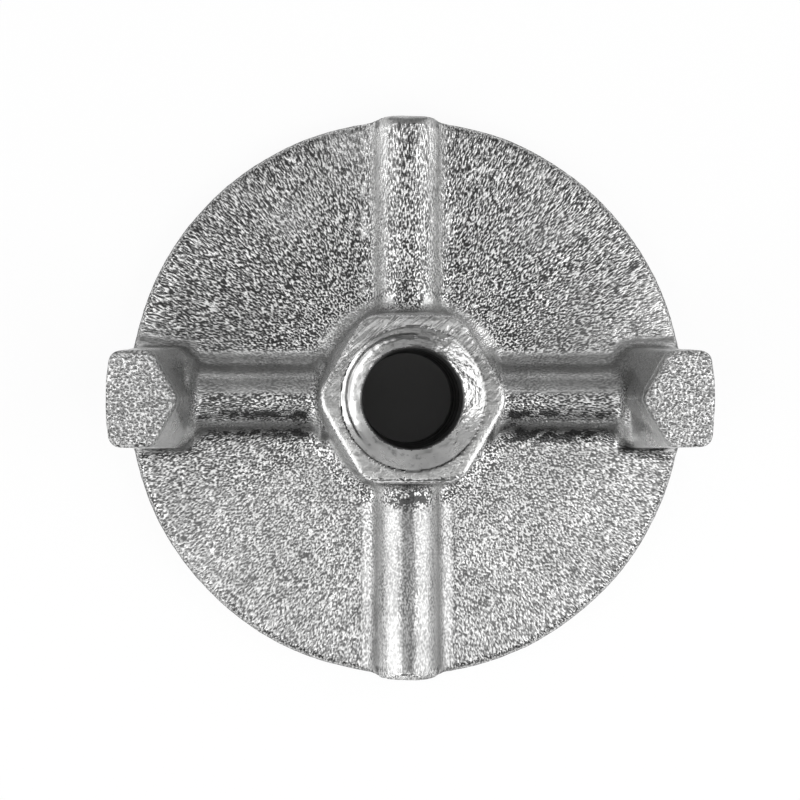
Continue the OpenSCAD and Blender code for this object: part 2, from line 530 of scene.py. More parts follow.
class Unevenness:
    """Smooth gradient noise that is the same in every run, used to shape the cast skin."""

    def __init__(self, seed: int) -> None:
        """Set up the lattice.

        Args:
            seed: Number that fixes the pattern.
        """
        rng = np.random.default_rng(seed)
        self.table = rng.permutation(256)
        slopes = rng.normal(size=(256, 3))
        self.slopes = slopes / np.linalg.norm(slopes, axis=1, keepdims=True)

    def at(self, points: Rows, length: float) -> Rows:
        """Value at each point, about -1 to 1.

        Args:
            points: Positions, one row each.
            length: Wavelength in the same unit.

        Returns:
            One value for each row.
        """
        scaled = points / length
        cell = np.floor(scaled).astype(int)
        local = scaled - cell
        ease = local * local * local * (local * (local * 6 - 15) + 10)
        total = np.zeros(len(points))
        for corner in np.ndindex(2, 2, 2):
            spot = (cell + corner) & 255
            key = self.table[(self.table[(self.table[spot[:, 0]] + spot[:, 1]) & 255] + spot[:, 2]) & 255]
            weight = np.prod(np.where(corner, ease, 1 - ease), axis=1)
            total += weight * np.einsum("ij,ij->i", self.slopes[key], local - corner)
        return total * 1.8


def rows(items: bpy_prop_collection, name: str, width: int = 3, kind: type = float) -> Rows:
    """Read one value of every item of a mesh.

    Args:
        items: The mesh's vertices, edges, faces or normals.
        name: The value's name.
        width: How many numbers the value has.
        kind: Type of the numbers.

    Returns:
        One row for each item.
    """
    flat = np.empty(len(items) * width, dtype=kind)
    items.foreach_get(name, flat)
    return flat.reshape(-1, width)


def ramp(value: Rows, start: float, length: float) -> Rows:
    """Rise evenly from 0 to 1.

    Args:
        value: What the ramp follows.
        start: Value at which the ramp leaves 0.
        length: Distance from there to 1, below 0 where the ramp rises towards smaller values.

    Returns:
        Values from 0 to 1.
    """
    return np.clip((value - start) / length, 0, 1)


def hump(value: Rows, middle: object, width: object) -> Rows:
    """Rise smoothly to 1 and fall again.

    Args:
        value: What the hump follows.
        middle: Value at which it is 1.
        width: Distance from there to about a third.

    Returns:
        Values from 0 to 1.
    """
    return np.exp(-(((value - middle) / width) ** 2))


@dataclass
class SkinMasks:
    """Masks that say, point by point, where the casting is calm, deep, coarse or worn, and where light, shade,
    highlights and dark reflections are painted into its colour.

    All lengths are in millimetres. The back is the side towards +Y and the front the side towards -Y.

    Args:
        place: Positions, one row each.
        normal: Normals, one row each.
        hub_share: Share in which each point belongs to the hub's top.
        step: Depth of the step in the mouth, as a share of its full depth.
        mouth_r: Radius of the countersink.
        lug_r: Distance from the axis to the lugs.
        hub_r: Distance from the axis to the hub's side.
        rib_half: Half of a rib's width at its foot.
        rib_start: Distance from the axis at which the Y ribs leave the hub.
        foot_z: Height at which the ribs and lugs leave the plate.
        crest_z: Height that parts the ribs' crests from their feet.
        lug_z: Height at which the lugs' rounded tops begin.
        rim_r: Distance from the axis to the plate's rounded edge.
    """

    place: Rows
    normal: Rows
    hub_share: Rows
    step: Rows
    mouth_r: float
    lug_r: float
    hub_r: float = 17.0
    rib_half: float = 9.0
    rib_start: float = 18.0
    foot_z: float = 10.0
    crest_z: float = 12.0
    lug_z: float = 33.0
    rim_r: float = 48.8

    def __post_init__(self) -> None:
        """Part the rows into single coordinates."""
        self.x, self.y, self.z = self.place.T
        self.nx, self.ny, self.nz = self.normal.T
        self.side = np.abs(self.x)
        self.depth_y = np.abs(self.y)
        self.reach = np.hypot(self.x, self.y)
        self.across = np.abs(self.ny) / (np.hypot(self.nx, self.ny) + 1e-6)
        self.back = ramp(self.y, -6, 12)
        self.right = np.where(self.x > 0, 1.0, 0.0)

    def by_name(self) -> dict[str, Rows]:
        """Work out every mask.

        Returns:
            The masks by the names that the finishes read.
        """
        return {
            "struck": self.struck,
            "end": self.end,
            "even": self._on_bearing(self.even, 0.35),
            "painted_light_tone": self._on_bearing(self.painted_light_tone, 0.8),
            "depth": self._on_bearing(self.depth, 0.8),
            "edge": self.edge,
            "mouth_shade": self.mouth_shade,
            "mouth_and_highlight": self.mouth_and_highlight,
            "worn": self.worn,
        }

    def _noise(self, seed: int, length: float) -> Rows:
        """Return smooth noise of one wavelength at every point, about -1 to 1."""
        return Unevenness(seed).at(self.place, length)

    def _on_bearing(self, values: Rows, level: float) -> Rows:
        """Return a mask's values, with one plain level on the bearing face."""
        return values + self.bearing * (level - values)

    @cached_property
    def patch(self) -> Rows:
        """Broad patches, from 0 to 1, in which the skin set differently."""
        return 0.5 + 0.5 * np.clip(1.6 * self._noise(21, 9), -1, 1)

    @cached_property
    def bearing(self) -> Rows:
        """The bearing face."""
        return ramp(self.nz, -0.5, -0.3)

    @cached_property
    def steep(self) -> Rows:
        """Where the skin stands steeply."""
        return ramp(np.abs(self.nz) - 0.1 * self.across, 0.80, -0.3)

    @cached_property
    def hub_side(self) -> Rows:
        """The hub's side."""
        return ramp(self.reach, self.hub_r, -1) * ramp(self.z, self.crest_z, 6)

    @cached_property
    def hub_foot(self) -> Rows:
        """The fillet round the hub's foot, which is stronger at the back."""
        near = ramp(self.reach, 19.5, -1.5) * (1 - self.hub_side) * (0.35 + 0.65 * self.back)
        return near * (1 - ramp(self.nz, 0.84, 0.07) * ramp(self.z, self.crest_z, 1))

    @cached_property
    def lug(self) -> Rows:
        """The lugs."""
        return ramp(self.reach, self.lug_r, 1) * ramp(self.z, self.foot_z, 1)

    @cached_property
    def lug_top(self) -> Rows:
        """The lugs' tops."""
        return ramp(self.z, self.lug_z, 1) * ramp(self.reach, 30, 1)

    @cached_property
    def back_rib(self) -> Rows:
        """The rib that runs to the rim at the back."""
        return ramp(self.side, self.rib_half, -1) * ramp(self.y, self.rib_start, 1)

    @cached_property
    def front_rib(self) -> Rows:
        """The rib that runs to the rim at the front."""
        return ramp(self.side, self.rib_half, -1) * ramp(self.y, -self.rib_start, -1)

    @cached_property
    def back_rib_side(self) -> Rows:
        """The sides of the back rib."""
        return self.back_rib * ramp(self.nz, 0.88, -0.2) * (1 - self.rib_end)

    @cached_property
    def rib_end(self) -> Rows:
        """The end faces of the two ribs that run to the rim."""
        near = ramp(self.side, self.rib_half + 0.5, -1) * ramp(self.reach, self.rim_r - 0.7, 0.3)
        return near * (self.z > self.foot_z - 1)

    @cached_property
    def cross_back(self) -> Rows:
        """The back sides of the ribs that run to the lugs."""
        side = ramp(self.ny, 0.06, 0.12) * ramp(self.depth_y, 14, -1)
        return side * ramp(self.side, self.hub_r - 1, 1) * (1 - self.hub_side)

    @cached_property
    def flank(self) -> Rows:
        """Steep sides that face along X, at the back."""
        return self.steep * self.back * (1 - self.across) * ramp(self.reach, self.hub_r + 1, 1)

    @cached_property
    def shoulder(self) -> Rows:
        """The round shoulders of the ribs."""
        turned = ramp(self.nz, 0.985, -0.05) * ramp(self.nz, 0.6, 0.1)
        return turned * ramp(self.reach, self.hub_r, 1) * ramp(self.z, self.foot_z, 1)

    @cached_property
    def calm(self) -> Rows:
        """Where the skin is nearly smooth."""
        steep = self.steep * (1 - 0.9 * self.back * (1 - self.across))
        steep *= 1 - (0.75 - 0.35 * self.right) * self.back_rib
        steep *= 1 - 0.95 * self.hub_side * (1 - 0.85 * self.back)
        calm = np.maximum.reduce((steep, self.hub_foot, 0.9 * self.front_rib, self.cross_back))
        calm *= 0.8 + 0.2 * self.patch
        return np.where(self.y > 0, np.maximum(calm, self.rib_end), calm * (1 - self.rib_end))

    @cached_property
    def lit_and_smooth(self) -> Rows:
        """Where the grain is shallower and the even level takes more of the colour, which paints these places
        lighter: painted light towards the front and at the right feet, on the shoulders and on the lugs' tops,
        less in the front fillets.
        """
        # Painted light: the skin gets lighter towards -Y, at the feet towards +X, and in patches.
        right_foot = ramp(self.x, 16, 22) * (self.z < self.foot_z + 1)
        drift = np.clip(0.5 - self.y / 26 + 0.7 * (self.patch - 0.5) + 1.1 * right_foot, 0, 1)
        lit_and_smooth = np.maximum.reduce((drift, 0.9 * ramp(self.z, self.lug_z, 1), 0.8 * self.shoulder))
        fillet = ramp(self.nz, 0.985, -0.04) * ramp(self.nz, 0.7, 0.1)
        fillet *= ramp(self.reach, self.hub_r, 1) * ramp(self.z, self.foot_z, -1)
        return lit_and_smooth * (1 - 0.8 * fillet * (1 - self.back))

    @cached_property
    def spot(self) -> Rows:
        """A small painted highlight at the ridge of each lug."""
        return hump(self.side, 37, 1.556) * hump(self.y, 0.3, 1.556) * (1 - self.lug_top)

    @cached_property
    def bright(self) -> Rows:
        """Painted highlights in blobs along the feet of the back rib."""
        blobs = np.clip(0.5 + 2.0 * self._noise(61, 2.2), 0, 1)
        return hump(self.side, 7.6, 0.9) * ramp(self.y, self.rib_start, 1) * blobs

    @cached_property
    def mouth(self) -> Rows:
        """The countersink."""
        return ramp(self.reach, self.mouth_r, -0.3)

    @cached_property
    def brink(self) -> Rows:
        """The hub's outer edge, with a painted highlight along it at the front and painted highlights in specks
        towards -X.
        """
        specks = 0.7 * np.clip(0.2 + 2.5 * self._noise(51, 0.9), 0, 1) * (self.nx < -0.1)
        return ramp(self.nz, 0.96, -0.08) * np.clip(np.maximum(0.6 - 1.2 * self.ny, specks), 0, 1)

    @cached_property
    def even(self) -> Rows:
        """Share in which an even level of painted light and shade stands in for the grain: on smooth places and
        random scuffs, and on the places with painted highlights and painted light.
        """
        scuffs = np.clip(1.5 * self._noise(27, 11) - 0.1, 0, 1)
        return np.maximum.reduce((
            0.85 * self.calm, 0.8 * self.bright, 0.8 * self.shoulder * self.front_rib, 0.6 * self.spot,
            0.6 * self.back_rib_side, 0.5 * self.lug_top, 0.5 * self.flank, 0.45 * scuffs, 0.4 * self.lit_and_smooth,
        ))

    @cached_property
    def painted_light_tone(self) -> Rows:
        """How light that even level is: painted light and shade, lighter or darker by which way the skin faces
        and where it lies.
        """
        left = 1 - self.right
        painted_light_tone = 0.78 + 0.14 * np.maximum(self.calm, self.lug)
        # Painted highlights on the back flanks, the lugs' ridges and the back rib's feet.
        painted_light_tone += 0.2 * (self.flank * (1 - self.calm) + self.spot + self.bright)
        # Painted shade on the front rib, with a painted dark reflection along its crest.
        crest = 0.25 * ramp(self.nz, 0.97, 0.02) + 0.05 * np.clip(2 * self.nx, 0, 1)
        painted_light_tone -= self.front_rib * (0.15 + crest + 0.06 * ramp(self.y, -34, -8))
        # Painted light on the lugs' front faces and on the left lug below its top; the lugs' tops a little
        # darker.
        front_face = 0.25 * (1 - self.lug_top) * np.clip(-2 * self.ny, 0, 1)
        painted_light_tone += self.lug * (front_face + 0.09 * left * (1 - 1.6 * self.lug_top)) - 0.02 * self.lug_top
        # Painted shade on the front sides of the ribs to the lugs, more on the right.
        cross_front = ramp(self.ny, -0.6, -0.2) * ramp(self.depth_y, self.rib_half, -1) * (1 - self.lug)
        painted_light_tone -= (0.11 + 0.06 * self.right) * cross_front
        # Painted light on the back rib's left side and on the plate by the right lug; painted shade on the back
        # sides of the ribs to the lugs, the back rib's end and the hub's sides away from the X axis.
        painted_light_tone += 0.19 * left * self.back_rib_side - 0.14 * self.cross_back
        painted_light_tone += 0.05 * ramp(self.x, 25, 15) * (self.z < self.foot_z) - 0.26 * self.rib_end * (self.y > 0)
        return painted_light_tone - 0.17 * self.hub_side * ramp(self.depth_y, 8, 3)

    @cached_property
    def depth(self) -> Rows:
        """How deep the grain is."""
        depth = (1 - 0.75 * self.calm) * (1 - 0.45 * self.lit_and_smooth)
        return depth + 1.1 * self.lug_top + 0.7 * self.rib_end * (self.y < 0)

    @cached_property
    def end(self) -> Rows:
        """Where the grain is coarse and round: the lugs' tops, the bearing face, and a little in front."""
        return np.maximum.reduce((self.lug_top, 0.35 * ramp(self.y, 0, -10), 0.8 * self.bearing))

    @cached_property
    def rim_dark_reflection(self) -> Rows:
        """A painted dark reflection as a line along the plate's rounded edge."""
        outwards = (self.nx * self.x + self.ny * self.y) / (self.reach + 0.001)
        line = ramp(self.reach, self.rim_r, 0.3) * ramp(self.nz, 0.66, -0.2) * ramp(outwards, 0.3, 0.3)
        crown = 0.45 * ramp(self.z, 4.3, 0.3) * ramp(self.z, 6.2, -0.2)
        return 0.75 * line * np.maximum(ramp(self.nz, -0.02, 0.1), crown)

    @cached_property
    def painted_shade(self) -> Rows:
        """Painted shade and painted dark reflections in blots: on the hub's front side, in the front corners at
        its foot, along the front of the ribs to the lugs, at the lugs' front feet, and where the front rib
        leaves the hub.
        """
        # Painted shade and painted dark reflections: every blot lies on the side towards -Y.
        under = ramp(self.reach, self.hub_r + 0.2, -1) * ramp(self.z, self.z.max() - 1.2, -1)
        under *= ramp(self.y, -9, -3) * (self.z > self.crest_z)
        nooks = hump(self.side, 18.8, 3.394) * hump(self.y, -5.5, 3.394)
        rib = ramp(self.side, self.hub_r, 1) * ramp(self.side, 39, -5)
        rib *= ramp(self.depth_y, self.rib_half, -1) * (0.75 + 0.25 * ramp(self.side, 28, -8))
        band = hump(self.y, -2.9, 1.1) * rib * (self.z > self.crest_z)
        sill = hump(self.y, -6.4 - 0.3 * self.right, 0.9 + 0.5 * self.right) * rib * (self.z < self.crest_z)
        lug_foot = hump(self.y, -9.1, 0.7) * ramp(self.side, 36, 2) * (self.z < self.foot_z)
        lug_foot *= (0.6 + 0.4 * self.right) * ramp(self.nz, 0.1, 0.2)
        painted_shade = np.maximum.reduce(
            (0.3 * under, 0.7 * nooks, 1.3 * band, (1.3 + 0.3 * self.right) * sill, lug_foot)
        ) * np.clip(0.6 + 1.2 * self._noise(41, 1.6), 0, 0.9)
        start = hump(self.x, 0.8, 4.6) * hump(self.y, -17.8, 1.8)
        return np.maximum(painted_shade, 1.5 * start * np.clip(0.65 + 1.3 * self._noise(43, 0.8), 0, 1))

    @cached_property
    def edge(self) -> Rows:
        """The painted shade, with painted dark reflections as lines along the outer edges of the plate, the
        ribs' ends and the lugs.
        """
        # Painted dark reflections as lines along the rounded outer edges of the ribs' ends and of the lugs'
        # tops.
        end_line = 0.7 * ramp(self.nz, 0.42, -0.15) * ramp(self.nz, 0.02, 0.1)
        edge = np.where(self.rib_end > 0.5, end_line, np.maximum(self.rim_dark_reflection, self.painted_shade))
        outward = np.clip(0.4 + np.sign(self.x) * self.nx + np.abs(self.ny), 0, 1)
        lug_line = ramp(self.z, self.lug_z + 0.2, 0.6) * ramp(self.reach, 36, 1) * outward
        lug_line *= ramp(self.nz, 0.88, -0.2) * ramp(self.nz, -0.02, 0.1)
        return np.maximum(edge * (1 - self.bearing), 0.5 * lug_line)

    @cached_property
    def mouth_shade(self) -> Rows:
        """Painted shade along the mouth's edge, more towards the back, and in the step of the mouth."""
        # Painted shade: a dark ring at the mouth's edge, broken up in patches.
        ring = hump(self.reach, self.mouth_r + 0.15, 0.22) * (0.45 + 0.55 * ramp(self.y, -4, 8))
        broken = 0.65 + 0.35 * np.clip(2 * self._noise(34, 2.5), -1, 1)
        return np.clip(np.maximum(ring, self.step), 0, 1) * broken * self.hub_share

    @cached_property
    def mouth_and_highlight(self) -> Rows:
        """The countersink in its own lighter colour, and the painted highlights on the hub's top: along its
        outer edge, in glints towards -X, and over its back.
        """
        # Painted glints towards -X and a painted highlight over the back of the hub's top.
        glints = 0.3 * np.clip(2.5 * self._noise(57, 1.3) - 0.1, 0, 1) * ramp(self.x, -6, -3)
        return np.maximum.reduce((self.mouth, self.brink, glints, 0.52 * ramp(self.y, 4, 4)))

    @cached_property
    def worn(self) -> Rows:
        """How lumpy the hub's top and its mouth are."""
        turn = np.arctan2(self.y, self.x)
        lumpy = 0.12 + 0.88 * np.clip(1.6 * np.cos(turn - 0.3) - 0.4, 0, 1)
        lumpy += 0.25 * np.clip(np.sin(turn), 0, 1)
        return np.where(self.mouth > 0, lumpy, 1.0 + 0.6 * self.patch)

    @cached_property
    def struck(self) -> Rows:
        """Where slanting scratches cross the hub's top."""
        return np.clip(0.12 + self.y / 9, 0, 1) * (1 - np.maximum(self.mouth, self.brink))


class Finish(Enum):
    """The casting's finishes, by material index."""

    CAST = 0
    WORKED = 1
    THREAD = 2


@dataclass
class Casting:
    """The nut's one casting, with melted edges and an uneven sand-cast skin.

    Args:
        node: Name of the CAD node that the casting stands for.
        voxel: Edge length of the skin's faces in metres.
        melt: Passes that round the edges off.
        hub_melt: Passes that round the hub's top off.
        mouth_r: Radius of the countersink in metres.
        thread_r: Radius of the thread's root in metres, with some room.
        mouth_depth: Depth of the countersink in metres.
        foot_depth: Depth of the countersink in the bearing face in metres.
        step_depth: Depth of the step in the mouth, in millimetres.
        hub_reach: Distance from the axis to the hub's corners, with some room.
        lug_r: Distance from the axis to the lugs in metres.
        fine_depth: Depth, in metres, to which the hub's mouth has finer faces.
        fine_r: Distance from the axis, in metres, to which it has them.
        fine_edge: Depth, in metres, to which the whole hub has them.
        base_gap: Height, in metres, below which the bearing face is laid flat.
        swells: Seed, wavelength and height of each unevenness of the skin, in millimetres.
        hub_swells: The same for the hub's top.
        cast_finish: Coat of the sand-cast skin.
        worked_finish: Coat of the hub's top.
        thread_finish: Coat of the bore's wall.
    """

    node: str = "wing_nut"
    voxel: float = 0.00055
    melt: int = 3
    hub_melt: int = 2
    mouth_r: float = 11.6 * MM
    thread_r: float = 9.9 * MM
    mouth_depth: float = 3.7 * MM
    foot_depth: float = 1.8 * MM
    step_depth: float = 0.30
    hub_reach: float = 16.5 * MM
    lug_r: float = 38.0 * MM
    fine_depth: float = 4.2 * MM
    fine_r: float = 12.0 * MM
    fine_edge: float = 1.8 * MM
    base_gap: float = 0.25 * MM
    swells: Swells = ((3, 15.0, 0.10), (5, 5.0, 0.05), (8, 1.5, 0.045))
    hub_swells: Swells = ((13, 4.0, 0.05), (17, 1.3, 0.012))
    cast_finish: CastZinc = field(default_factory=CastZinc)
    worked_finish: WorkedZinc = field(default_factory=WorkedZinc)
    thread_finish: ThreadZinc = field(default_factory=ThreadZinc)

    def build(self) -> Object:
        """Build and dress the casting.

        Returns:
            The finished object, which rides on the frame's root.
        """
        mesh = self._skin()
        self._round_off(mesh)
        self._refine(mesh)
        self._sharpen(mesh)
        self._uneven(mesh)
        self._lay_flat(mesh)
        self._masks(mesh)
        self._finishes(mesh)
        mesh.shade_smooth()
        piece = bpy.data.objects.new("wing_nut_casting", mesh)
        bpy.context.scene.collection.objects.link(piece)
        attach(piece, "root")
        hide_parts(self.node)
        mesh.calc_loop_triangles()
        LOG.info("casting: %d triangles", len(mesh.loop_triangles))
        return piece

    def _hub_share(self, place: Rows) -> Rows:
        """Say how far each position belongs to the hub's top.

        Args:
            place: Positions in metres, one row each.

        Returns:
            A share from 0 to 1 for each row.
        """
        reach = np.hypot(place[:, 0], place[:, 1])
        top = place[:, 2].max()
        return ramp(reach, self.hub_reach, -MM) * ramp(place[:, 2], top - 6 * MM, 2 * MM)

    def _skin(self) -> Mesh:
        """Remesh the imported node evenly.

        Returns:
            The new mesh.
        """
        rough = bpy.data.objects.new("rough_casting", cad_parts[self.node].data.copy())
        bpy.context.scene.collection.objects.link(rough)
        remesh = rough.modifiers.new("skin", "REMESH")
        remesh.mode = "VOXEL"
        remesh.voxel_size = self.voxel
        remesh.adaptivity = 0.0
        done = rough.evaluated_get(bpy.context.evaluated_depsgraph_get())
        mesh = bpy.data.meshes.new_from_object(done)
        bpy.data.objects.remove(rough)
        mesh.name = "wing_nut_casting"
        mesh.materials.clear()
        return mesh

    @staticmethod
    def _place_points(mesh: Mesh, place: Rows) -> None:
        """Move the mesh's points to the positions given."""
        mesh.vertices.foreach_set("co", place.ravel())
        mesh.update()

    def _round_off(self, mesh: Mesh) -> None:
        """Average each point with its neighbours, less on the hub's top, which keeps its edges.

        Args:
            mesh: The casting's mesh.
        """
        place = rows(mesh.vertices, "co")
        a, b = rows(mesh.edges, "vertices", 2, int).T
        count = np.bincount(a, minlength=len(place)) + np.bincount(b, minlength=len(place))
        hub = self._hub_share(place)
        for turn in range(self.melt):
            total = np.empty_like(place)
            for axis in range(3):
                along = np.bincount(a, place[b, axis], len(place))
                total[:, axis] = along + np.bincount(b, place[a, axis], len(place))
            share = 0.5 * np.where(turn < self.hub_melt, 1.0, 1.0 - hub)
            place += (total / count[:, None] - place) * share[:, None]
        self._place_points(mesh, place)

    def _refine(self, mesh: Mesh) -> None:
        """Give the countersink and the hub's top finer faces.

        Args:
            mesh: The casting's mesh.
        """
        shape = bmesh.new()
        shape.from_mesh(mesh)
        top = max(v.co.z for v in shape.verts)
        fine = [
            e for e in shape.edges
            if all(v.co.z > top - self.fine_depth and v.co.xy.length < self.fine_r for v in e.verts)
            or all(v.co.z > top - self.fine_edge for v in e.verts)
        ]
        bmesh.ops.subdivide_edges(shape, edges=fine, cuts=1, use_grid_fill=True)
        bmesh.ops.triangulate(shape, faces=[f for f in shape.faces if len(f.verts) > 4])
        shape.to_mesh(mesh)
        shape.free()

    def _sharpen(self, mesh: Mesh) -> None:
        """Draw the hub's top and the lugs' tops back to the CAD surface, so that their edges stay crisp.

        Args:
            mesh: The casting's mesh.
        """
        place = rows(mesh.vertices, "co")
        lugs = ramp(np.abs(place[:, 0]), self.lug_r, MM) * ramp(place[:, 2], 20 * MM, 8 * MM)
        share = np.maximum(self._hub_share(place), 0.7 * lugs)
        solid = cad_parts[self.node].data
        faces = [list(p.vertices) for p in solid.polygons]
        tree = BVHTree.FromPolygons([v.co for v in solid.vertices], faces)
        for spot in np.nonzero(share > 0)[0]:
            nearest = tree.find_nearest(Vector(place[spot]))[0]
            place[spot] += (np.array(nearest) - place[spot]) * share[spot]
        self._place_points(mesh, place)

    def _uneven(self, mesh: Mesh) -> None:
        """Push the skin in and out along its normals as cast metal has set, and mark the mouth.

        Args:
            mesh: The casting's mesh.
        """
        place = rows(mesh.vertices, "co")
        normal = rows(mesh.vertex_normals, "vector")
        reach = np.hypot(place[:, 0], place[:, 1])
        hub = self._hub_share(place)
        height = self._swell(place, self.swells)
        height += hub * (self._swell(place, self.hub_swells) - self._mouth_marks(place))
        in_bore = ramp(reach, self.thread_r, -MM) * (1 - hub)
        base = ramp(place[:, 2], 0, 1.5 * MM)
        place += normal * (height * MM * base * (1 - 0.7 * in_bore))[:, None]
        self._place_points(mesh, place)

    @staticmethod
    def _swell(place: Rows, swells: Swells) -> Rows:
        """Add up unevenness.

        Args:
            place: Positions in metres, one row each.
            swells: Seed, wavelength and height of each layer, in millimetres.

        Returns:
            One height in millimetres for each row.
        """
        return sum(height * Unevenness(seed).at(place, length * MM) for seed, length, height in swells)

    def _mouth_marks(self, place: Rows) -> Rows:
        """Depth of the step between the cast mouth and the thread's chamfer, in millimetres.

        Args:
            place: Positions, one row each.

        Returns:
            One depth for each row.
        """
        turn = np.degrees(np.arctan2(place[:, 1], place[:, 0])) % 360
        reach = np.hypot(place[:, 0], place[:, 1]) / MM
        groove = 10.25 + 0.15 * np.sin(np.radians(turn * 3))
        arc = ramp(turn, 70, 40) * ramp(turn, 235, -50)
        return self.step_depth * arc * hump(reach, groove, 0.30)

    def _lay_flat(self, mesh: Mesh) -> None:
        """Lay the bearing face flat on z = 0 and give it fewer faces, as it has no shape of its own.

        Args:
            mesh: The casting's mesh.
        """
        shape = bmesh.new()
        shape.from_mesh(mesh)
        for vert in shape.verts:
            if vert.co.z < self.base_gap and vert.normal.z < -0.9:
                vert.co.z = 0.0
        flat = [f for f in shape.faces if all(v.co.z == 0.0 for v in f.verts)]
        bmesh.ops.delete(shape, geom=flat, context="FACES")
        rims = [e for e in shape.edges if e.is_boundary]
        bmesh.ops.triangle_fill(shape, edges=rims, use_beauty=True, normal=(0, 0, -1))
        bmesh.ops.delete(shape, geom=[v for v in shape.verts if not v.link_faces], context="VERTS")
        shape.to_mesh(mesh)
        shape.free()

    def _masks(self, mesh: Mesh) -> None:
        """Store the skin's masks on the mesh's points.

        Args:
            mesh: The casting's mesh.
        """
        place = rows(mesh.vertices, "co")
        masks = SkinMasks(
            place=place / MM,
            normal=rows(mesh.vertex_normals, "vector"),
            hub_share=self._hub_share(place),
            step=self._mouth_marks(place) / self.step_depth,
            mouth_r=self.mouth_r / MM,
            lug_r=self.lug_r / MM,
        )
        for name, values in masks.by_name().items():
            mesh.attributes.new(name, "FLOAT", "POINT").data.foreach_set("value", values.astype(np.float32))

    def _finishes(self, mesh: Mesh) -> None:
        """Give each face its finish: the bore's wall, the hub's top and mouths, and the skin elsewhere.

        Args:
            mesh: The casting's mesh.
        """
        for coat in (self.cast_finish, self.worked_finish, self.thread_finish):
            mesh.materials.append(coat.material())
        x, y, height = rows(mesh.polygons, "center").T
        up = rows(mesh.polygons, "normal")[:, 2]
        reach = np.hypot(x, y)
        top = height.max()
        index = np.full(len(height), Finish.CAST.value)
        hub_top = (height > top - 0.9 * MM) & (reach < self.hub_reach) & (up > 0.6)
        sunk = (height > top - self.mouth_depth) | ((height < self.foot_depth) & (height > 0))
        index[hub_top | ((reach < self.mouth_r + 0.2 * MM) & sunk)] = Finish.WORKED.value
        wall = (reach < self.thread_r) & (height > self.foot_depth - 0.2 * MM)
        wall &= height < top - self.mouth_depth + 0.4 * MM
        index[wall] = Finish.THREAD.value
        mesh.polygons.foreach_set("material_index", index.astype(np.int32))


def seen(graph: NodeGraph) -> tuple[NodeSocket, NodeSocket]:
    """Ask by what kind of ray a surface is seen.

    Args:
        graph: The graph of the floor's or the world's material.

    Returns:
        Sockets that are 1 for the camera, straight or through glass, and 1 for a reflection.
    """
    path = graph.add("ShaderNodeLightPath")
    direct = graph.math(Blend.MAXIMUM, path.outputs["Is Camera Ray"], path.outputs["Is Transmission Ray"])
    return direct, path.outputs["Is Glossy Ray"]


@dataclass(frozen=True)
class FloorPaint:
    """Paint of the pale floor, which looks white outside the nut and keeps some of its shadow.

    Args:
        grey: Linear grey under the bore, a painted shadow under the nut, and on the open floor.
        grey_reach: Distances from the axis between which the one becomes the other, in metres.
        white_reach: Distances between which the floor starts to look white.
        mirror_reach: The same for the floor's reflection in the nut.
        white: Share of white, of which the shadow takes the rest.
    """

    grey: Pair = (0.45, 0.92)
    grey_reach: Pair = (0.01, 0.03)
    white_reach: Pair = (0.02, 0.03)
    mirror_reach: Pair = (0.09, 0.2)
    white: float = 0.9

    def material(self) -> Material:
        """Build the material.

        Returns:
            The new material.
        """
        paint = bpy.data.materials.new("floor_paint")
        graph = NodeGraph.fresh(paint)
        out = graph.add("ShaderNodeOutputMaterial")
        matt = graph.add("ShaderNodeBsdfDiffuse")
        white = graph.add("ShaderNodeEmission")
        direct, mirrored = seen(graph)
        length = graph.add("ShaderNodeVectorMath", operation="LENGTH")
        graph.join(graph.place(), length.inputs[0])
        reach = length.outputs["Value"]
        # The darker grey under the nut is a painted shadow.
        graph.join(graph.remap(reach, *self.grey_reach, *self.grey), matt.inputs["Color"])
        near = graph.math(Blend.MULTIPLY, direct, graph.remap(reach, *self.white_reach))
        far = graph.math(Blend.MULTIPLY, mirrored, graph.remap(reach, *self.mirror_reach))
        share = graph.math(Blend.MULTIPLY, graph.math(Blend.MAXIMUM, near, far), self.white)
        graph.mix_into(out, share, matt, white)
        return paint


@dataclass(frozen=True)
class Surroundings:
    """Grey room round the nut, lighter at the back and above, and white where the camera sees it.

    Args:
        grey: Linear grey at the front and at the back.
        turn: Y directions between which the one becomes the other.
        skirt: Grey that is added near the floor.
        skirt_rise: Z directions between which it fades.
        above: Linear grey overhead.
        above_rise: Z directions between which it starts.
    """

    grey: Pair = (0.03, 0.28)
    turn: Pair = (-0.5, 0.3)
    skirt: float = 0.13
    skirt_rise: Pair = (0.1, 0.35)
    above: float = 0.85
    above_rise: Pair = (0.7, 0.95)

    def world(self) -> World:
        """Build the world.

        Returns:
            The new world.
        """
        world = bpy.data.worlds.new("surroundings")
        graph = NodeGraph.fresh(world)
        out = graph.add("ShaderNodeOutputWorld")
        away = graph.add("ShaderNodeSeparateXYZ")
        graph.join(graph.add("ShaderNodeTexCoord").outputs["Generated"], away.inputs[0])
        side = graph.remap(away.outputs["Y"], *self.turn, *self.grey)
        side = graph.math(Blend.ADD, side, graph.remap(away.outputs["Z"], *self.skirt_rise, self.skirt, 0.0))
        high = graph.remap(away.outputs["Z"], *self.above_rise)
        low = graph.math(Blend.MULTIPLY, side, graph.math(Blend.SUBTRACT, 1.0, high))
        grey = graph.math(Blend.ADD, low, graph.math(Blend.MULTIPLY, high, self.above))
        light = graph.add("ShaderNodeBackground")
        graph.join(grey, light.inputs["Color"])
        white = graph.add("ShaderNodeBackground")
        white.inputs["Color"].default_value = (1.0, 1.0, 1.0, 1.0)
        graph.mix_into(out, seen(graph)[0], light, white)
        return world


